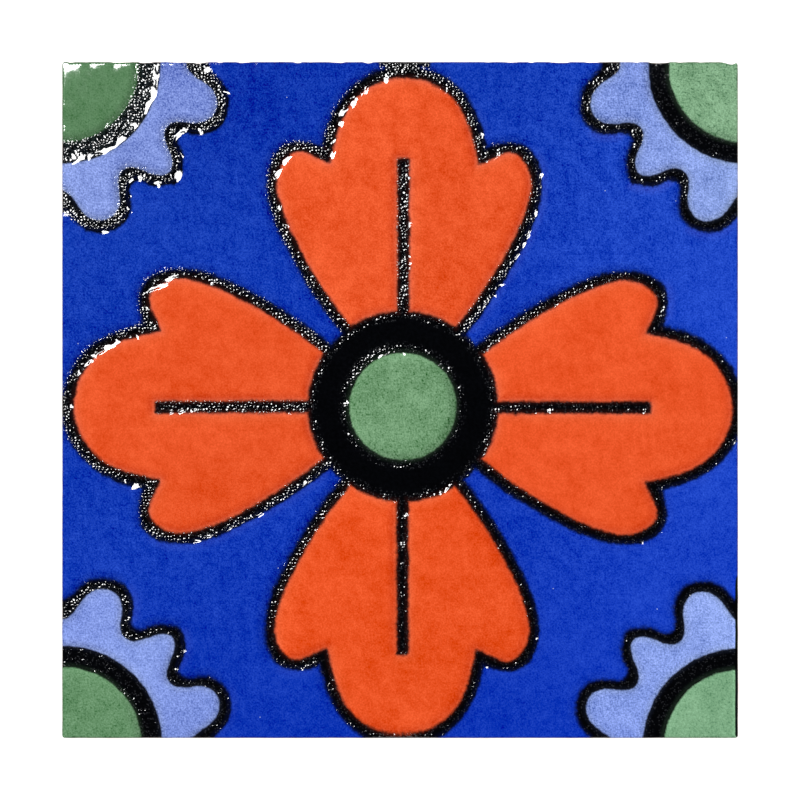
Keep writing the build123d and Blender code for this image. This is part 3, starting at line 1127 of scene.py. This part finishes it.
# ---- the clay under it: sides, rounded foot, flat back
body_ring = outline(0.0, 0.6, CLAY_CORNER_R)
bn = outward(body_ring, CLAY_CORNER_R)
n_b = len(body_ring)
b_all = pulled(body_ring, bn) + 0.14 * np.clip(bn[:, 1], 0, 1)
straight = smooth(0.75, 1.6, HALF - np.abs(body_ring).min(1))     # 0 at the four corners
bs = np.r_[0, np.cumsum(np.hypot(*np.diff(body_ring, axis=0).T))]
levels = [(6.22, 0.66), (5.95, 0.62), (5.6, 0.24), (5.2, 0.16), (4.4, 0.15), (3.6, 0.15),
          (2.8, 0.15), (2.1, 0.15),
          (1.4, 0.16), (0.8, 0.17), (0.42, 0.20), (0.18, 0.28), (0.05, 0.40), (0.0, 0.58)]
b_xy, b_z, b_far = [], [], []
far = 0.0
for k, (zz, off) in enumerate(levels):
    if k:
        far += math.hypot(levels[k - 1][0] - zz, off - levels[k - 1][1])
    rough = 0.045 * noise(bs, zz + 0 * bs, 3.0, 61) + 0.03 * noise(bs, zz + 0 * bs, 1.3, 62)
    rough *= smooth(0, 3, np.minimum(bs, bs[-1] - bs + 0.5)) * (0.4 < zz < 5.8)
    back = b_all * np.maximum(smooth(0.02, 0.42, zz), straight) * (zz < 5.8)
    b_xy.append(body_ring - bn * (off + back + rough)[:, None])
    b_z.append(np.full(n_b, zz))
    b_far.append(far)
foot, foot_tri = caps(b_xy[-1], 2.4)
head, head_tri = caps(b_xy[0], 4.0)
b_base = len(levels) * n_b
foot_z = 0.02 * np.clip(noise(foot[:, 0], foot[:, 1], 6.0, 63), 0, 1)
foot_z[:n_b] = 0
b_verts = [np.c_[xy, zz] for xy, zz in zip(b_xy, b_z)]
b_verts.append(np.c_[foot[n_b:], foot_z[n_b:]])
b_verts.append(np.c_[head[n_b:], np.full(len(head) - n_b, 6.22)])
b_verts = np.vstack(b_verts)
col = np.arange(n_b)
b_faces, hidden = [], []
for k in range(len(levels) - 1):
    up, lo = k * n_b + col, (k + 1) * n_b + col
    up2, lo2 = np.roll(up, -1), np.roll(lo, -1)
    b_faces += [np.stack([up, lo, lo2], 1), np.stack([up, lo2, up2], 1)]
    hidden += [np.zeros(n_b, bool)] * 2
last = (len(levels) - 1) * n_b
ids = np.r_[last + col, b_base + np.arange(len(foot) - n_b)]
b_faces.append(ids[foot_tri][:, ::-1])
hidden.append(np.zeros(len(foot_tri), bool))
ids = np.r_[col, b_base + len(foot) - n_b + np.arange(len(head) - n_b)]
b_faces.append(ids[head_tri])
hidden.append(np.ones(len(head_tri), bool))
b_faces, hidden = np.vstack(b_faces), np.concatenate(hidden)
# map: the back, its sides folded out round it, and the hidden top small in a corner
fold = [b_xy[-1] + bn * (far - f) for f in b_far]
flat_uv = np.zeros((len(b_verts), 2))
small_uv = np.zeros((len(b_verts), 2))
flat_uv[:b_base] = np.vstack(fold)
flat_uv[b_base:b_base + len(foot) - n_b] = foot[n_b:]
reach = np.abs(flat_uv).max()
flat_uv = 0.003 + (flat_uv + reach) / (2 * reach) * 0.966
small_uv[:n_b] = 0.985 + b_xy[0] / (2 * HALF) * 0.02
small_uv[b_base + len(foot) - n_b:] = 0.985 + head[n_b:] / (2 * HALF) * 0.02
b_uv = np.where(hidden[:, None, None], small_uv[b_faces], flat_uv[b_faces])
clay = mesh_piece("clay_body", b_verts, b_faces, np.zeros(len(b_faces)), [CLAY], b_uv, {})

for piece in (glazed, clay):
    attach(piece, "root")
    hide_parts("tile")

# ================================================================ studio
for old in ("Cube", "Light", "Camera"):
    if old in bpy.data.objects:
        bpy.data.objects.remove(bpy.data.objects[old], do_unlink=True)
scene = bpy.context.scene

bpy.ops.mesh.primitive_plane_add(size=4.0, location=(0, 0, -0.0002))
floor_ob = bpy.context.object
floor_ob.name = "floor"
paper = Nodes("white_paper")
paper.bsdf.inputs["Roughness"].default_value = 1.0
paper.bsdf.inputs["Specular IOR Level"].default_value = 0.0
paper.bsdf.inputs["Base Color"].default_value = (0.74, 0.74, 0.74, 1)
paper.bsdf.inputs["Emission Color"].default_value = (1, 1, 1, 1)
paper.bsdf.inputs["Emission Strength"].default_value = 0.79
floor_ob.data.materials.append(paper.mat)


def panel(name, place, aim, size, watts, shape="RECTANGLE", size_y=None):
    light = bpy.data.lights.new(name, "AREA")
    light.shape, light.size, light.energy = shape, size, watts
    if size_y:
        light.size_y = size_y
    ob = bpy.data.objects.new(name, light)
    scene.collection.objects.link(ob)
    ob.location = place
    ob.rotation_euler = (Vector(aim) - Vector(place)).to_track_quat("-Z", "Y").to_euler()
    return ob


KEY_AT, KEY_R, KEY_BRIGHT = (-0.130, 0.133, 0.45), 0.065, 34.0
key = panel("key", KEY_AT, (0, 0, 0), 2 * KEY_R, KEY_BRIGHT * math.pi * math.pi * KEY_R**2,
            "DISK")

# soft light from low all round, and a dark ceiling for the glaze to mirror
world = bpy.data.worlds.new("studio")
scene.world = world
world.use_nodes = True
wt = world.node_tree
wt.nodes.clear()
w_out = wt.nodes.new("ShaderNodeOutputWorld")
w_bg = wt.nodes.new("ShaderNodeBackground")
w_at = wt.nodes.new("ShaderNodeTexCoord")
w_sep = wt.nodes.new("ShaderNodeSeparateXYZ")
w_map = wt.nodes.new("ShaderNodeMapRange")
w_map.interpolation_type = "SMOOTHSTEP"
w_map.inputs["From Min"].default_value = 0.72
w_map.inputs["From Max"].default_value = 0.52
w_map.inputs["To Min"].default_value = 0.004
w_map.inputs["To Max"].default_value = 1.75
wt.links.new(w_at.outputs["Generated"], w_sep.inputs[0])
wt.links.new(w_sep.outputs["Z"], w_map.inputs["Value"])
wt.links.new(w_map.outputs[0], w_bg.inputs["Strength"])
wt.links.new(w_bg.outputs[0], w_out.inputs[0])

camera = bpy.data.cameras.new("camera")
camera.sensor_width = 36.0
camera.lens = 289.5
camera.clip_start, camera.clip_end = 0.05, 20.0
cam = bpy.data.objects.new("camera", camera)
scene.collection.objects.link(cam)
cam.location = (0.0000155, 0.0, 1.007)
cam.rotation_euler = (0, 0, 0)
scene.camera = cam
scene.view_settings.view_transform = "Standard"
scene.view_settings.look = "None"
scene.view_settings.exposure = 0.0
scene.view_settings.gamma = 1.0
